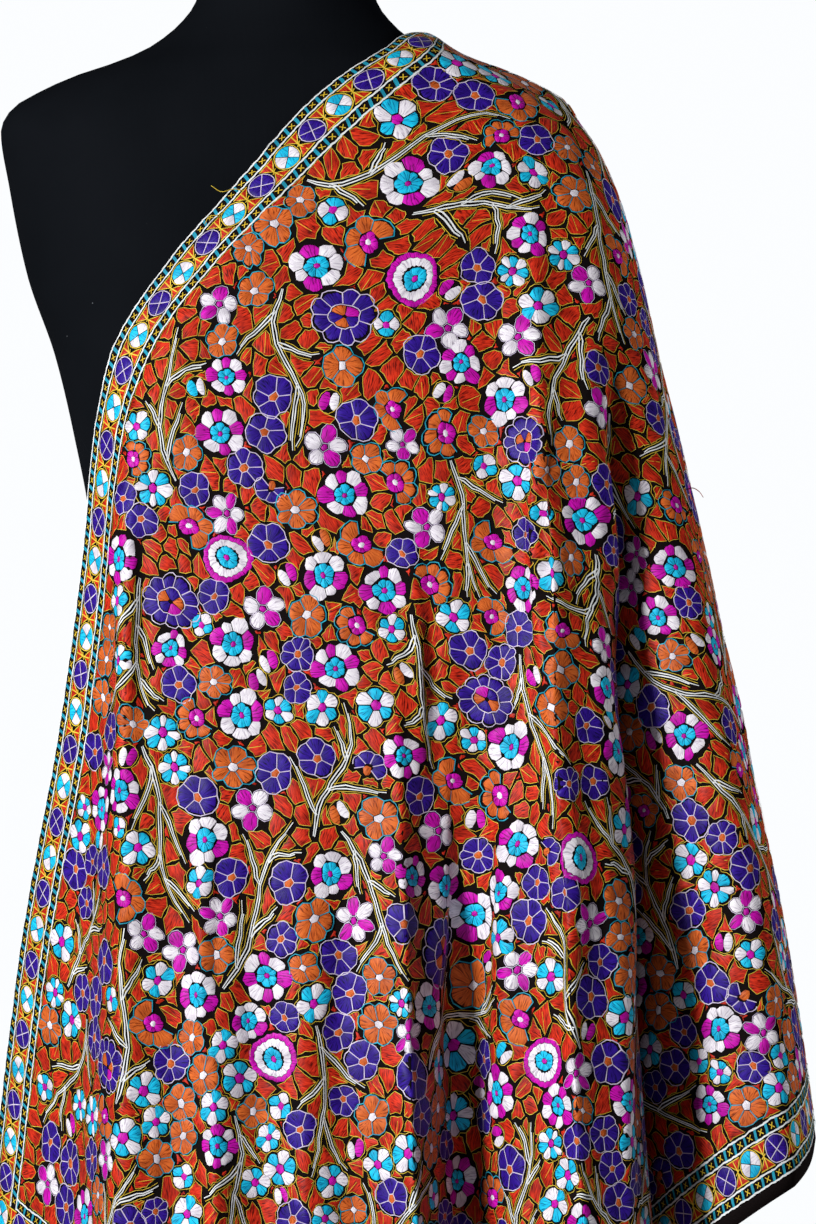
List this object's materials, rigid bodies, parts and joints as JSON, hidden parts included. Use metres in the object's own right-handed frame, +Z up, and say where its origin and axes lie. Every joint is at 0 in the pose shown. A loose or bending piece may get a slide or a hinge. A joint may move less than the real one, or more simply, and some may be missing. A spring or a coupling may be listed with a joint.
{
  "type": "embroidered shawl on a limbless dress form",
  "caption": "Rectangular embroidered shawl draped over one shoulder of a limbless dress form on a pole and round base, falling in folds.",
  "frame": {"origin": "centre of the round base's underside, on the pole's axis", "axes": "+Z up along the pole, the dress form faces -Y, and the shawl lies on the shoulder at +X"},
  "size_m": [0.5364, 0.4098, 1.41],
  "materials": {
    "embroidered_wool": "black wool ground almost covered by silk chain stitch with a soft sheen",
    "form_cloth": "smooth matte black jersey",
    "stand_metal": "satin black paint"
  },
  "bodies": {
    "root": {"shawl": "embroidered_wool", "dress_form": "form_cloth", "pole": "stand_metal", "base": "stand_metal"}
  },
  "joints": []
}
